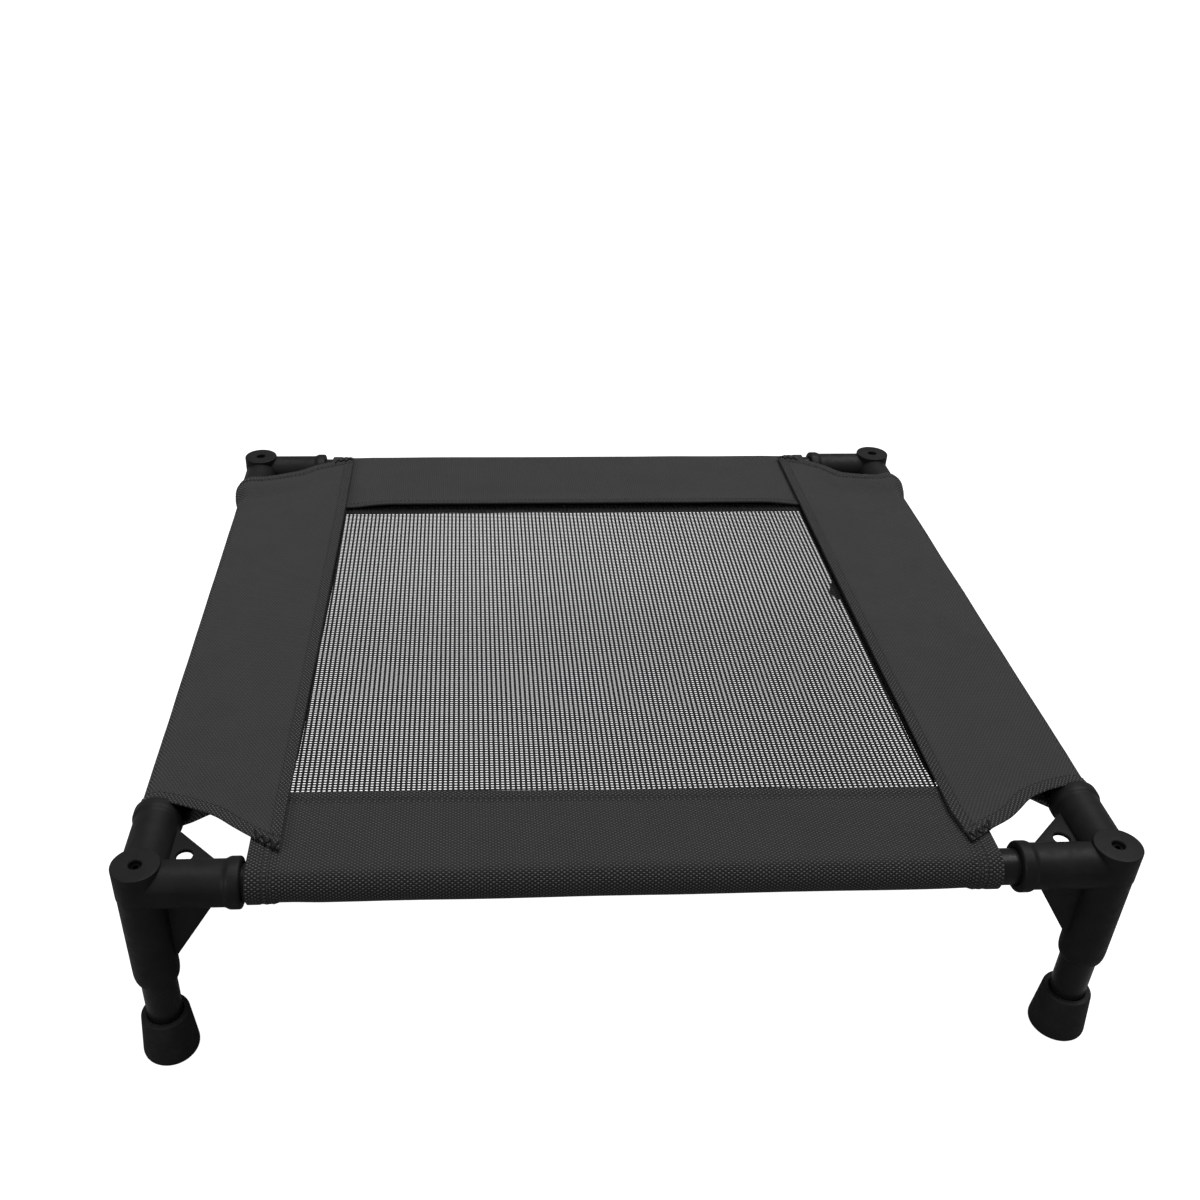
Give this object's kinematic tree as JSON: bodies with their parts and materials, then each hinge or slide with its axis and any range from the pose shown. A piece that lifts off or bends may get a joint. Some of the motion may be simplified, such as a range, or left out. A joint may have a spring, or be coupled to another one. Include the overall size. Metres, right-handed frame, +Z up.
{
  "type": "raised dog bed",
  "caption": "Raised dog bed: a sewn cover with an open mesh middle, stretched over a low tube frame with moulded corners and rubber feet.",
  "frame": {"origin": "on the floor under the middle of the bed, at the centre of the bounding box's base", "axes": "+Z up, +X to the right along the wider side, -Y to the front, where the mesh comes nearest to the rail"},
  "size_m": [0.616, 0.576, 0.1591],
  "materials": {
    "corner_plastic": "fine moulded texture, semi-matt black",
    "tube_steel": "black powder coat, satin",
    "foot_rubber": "matt black",
    "plug_steel": "zinc plated",
    "screw_steel": "black oxide",
    "cover_cloth": "coarse charcoal Oxford weave, matt",
    "mesh_netting": "black coated netting, slight sheen"
  },
  "bodies": {
    "root": {"corner_front_left": "corner_plastic", "corner_front_right": "corner_plastic", "corner_rear_left": "corner_plastic", "corner_rear_right": "corner_plastic", "front_rail": "tube_steel", "rear_rail": "tube_steel", "left_rail": "tube_steel", "right_rail": "tube_steel", "leg_front_left": "tube_steel", "leg_front_right": "tube_steel", "leg_rear_left": "tube_steel", "leg_rear_right": "tube_steel", "foot_front_left": "foot_rubber", "foot_front_right": "foot_rubber", "foot_rear_left": "foot_rubber", "foot_rear_right": "foot_rubber", "leg_plug_front_left": "plug_steel", "leg_plug_front_right": "plug_steel", "leg_plug_rear_left": "plug_steel", "leg_plug_rear_right": "plug_steel", "leg_screw_front_left": "screw_steel", "leg_screw_front_right": "screw_steel", "leg_screw_rear_left": "screw_steel", "leg_screw_rear_right": "screw_steel", "front_panel": "cover_cloth", "rear_panel": "cover_cloth", "left_panel": "cover_cloth", "right_panel": "cover_cloth", "mesh_panel": "mesh_netting"}
  },
  "joints": []
}
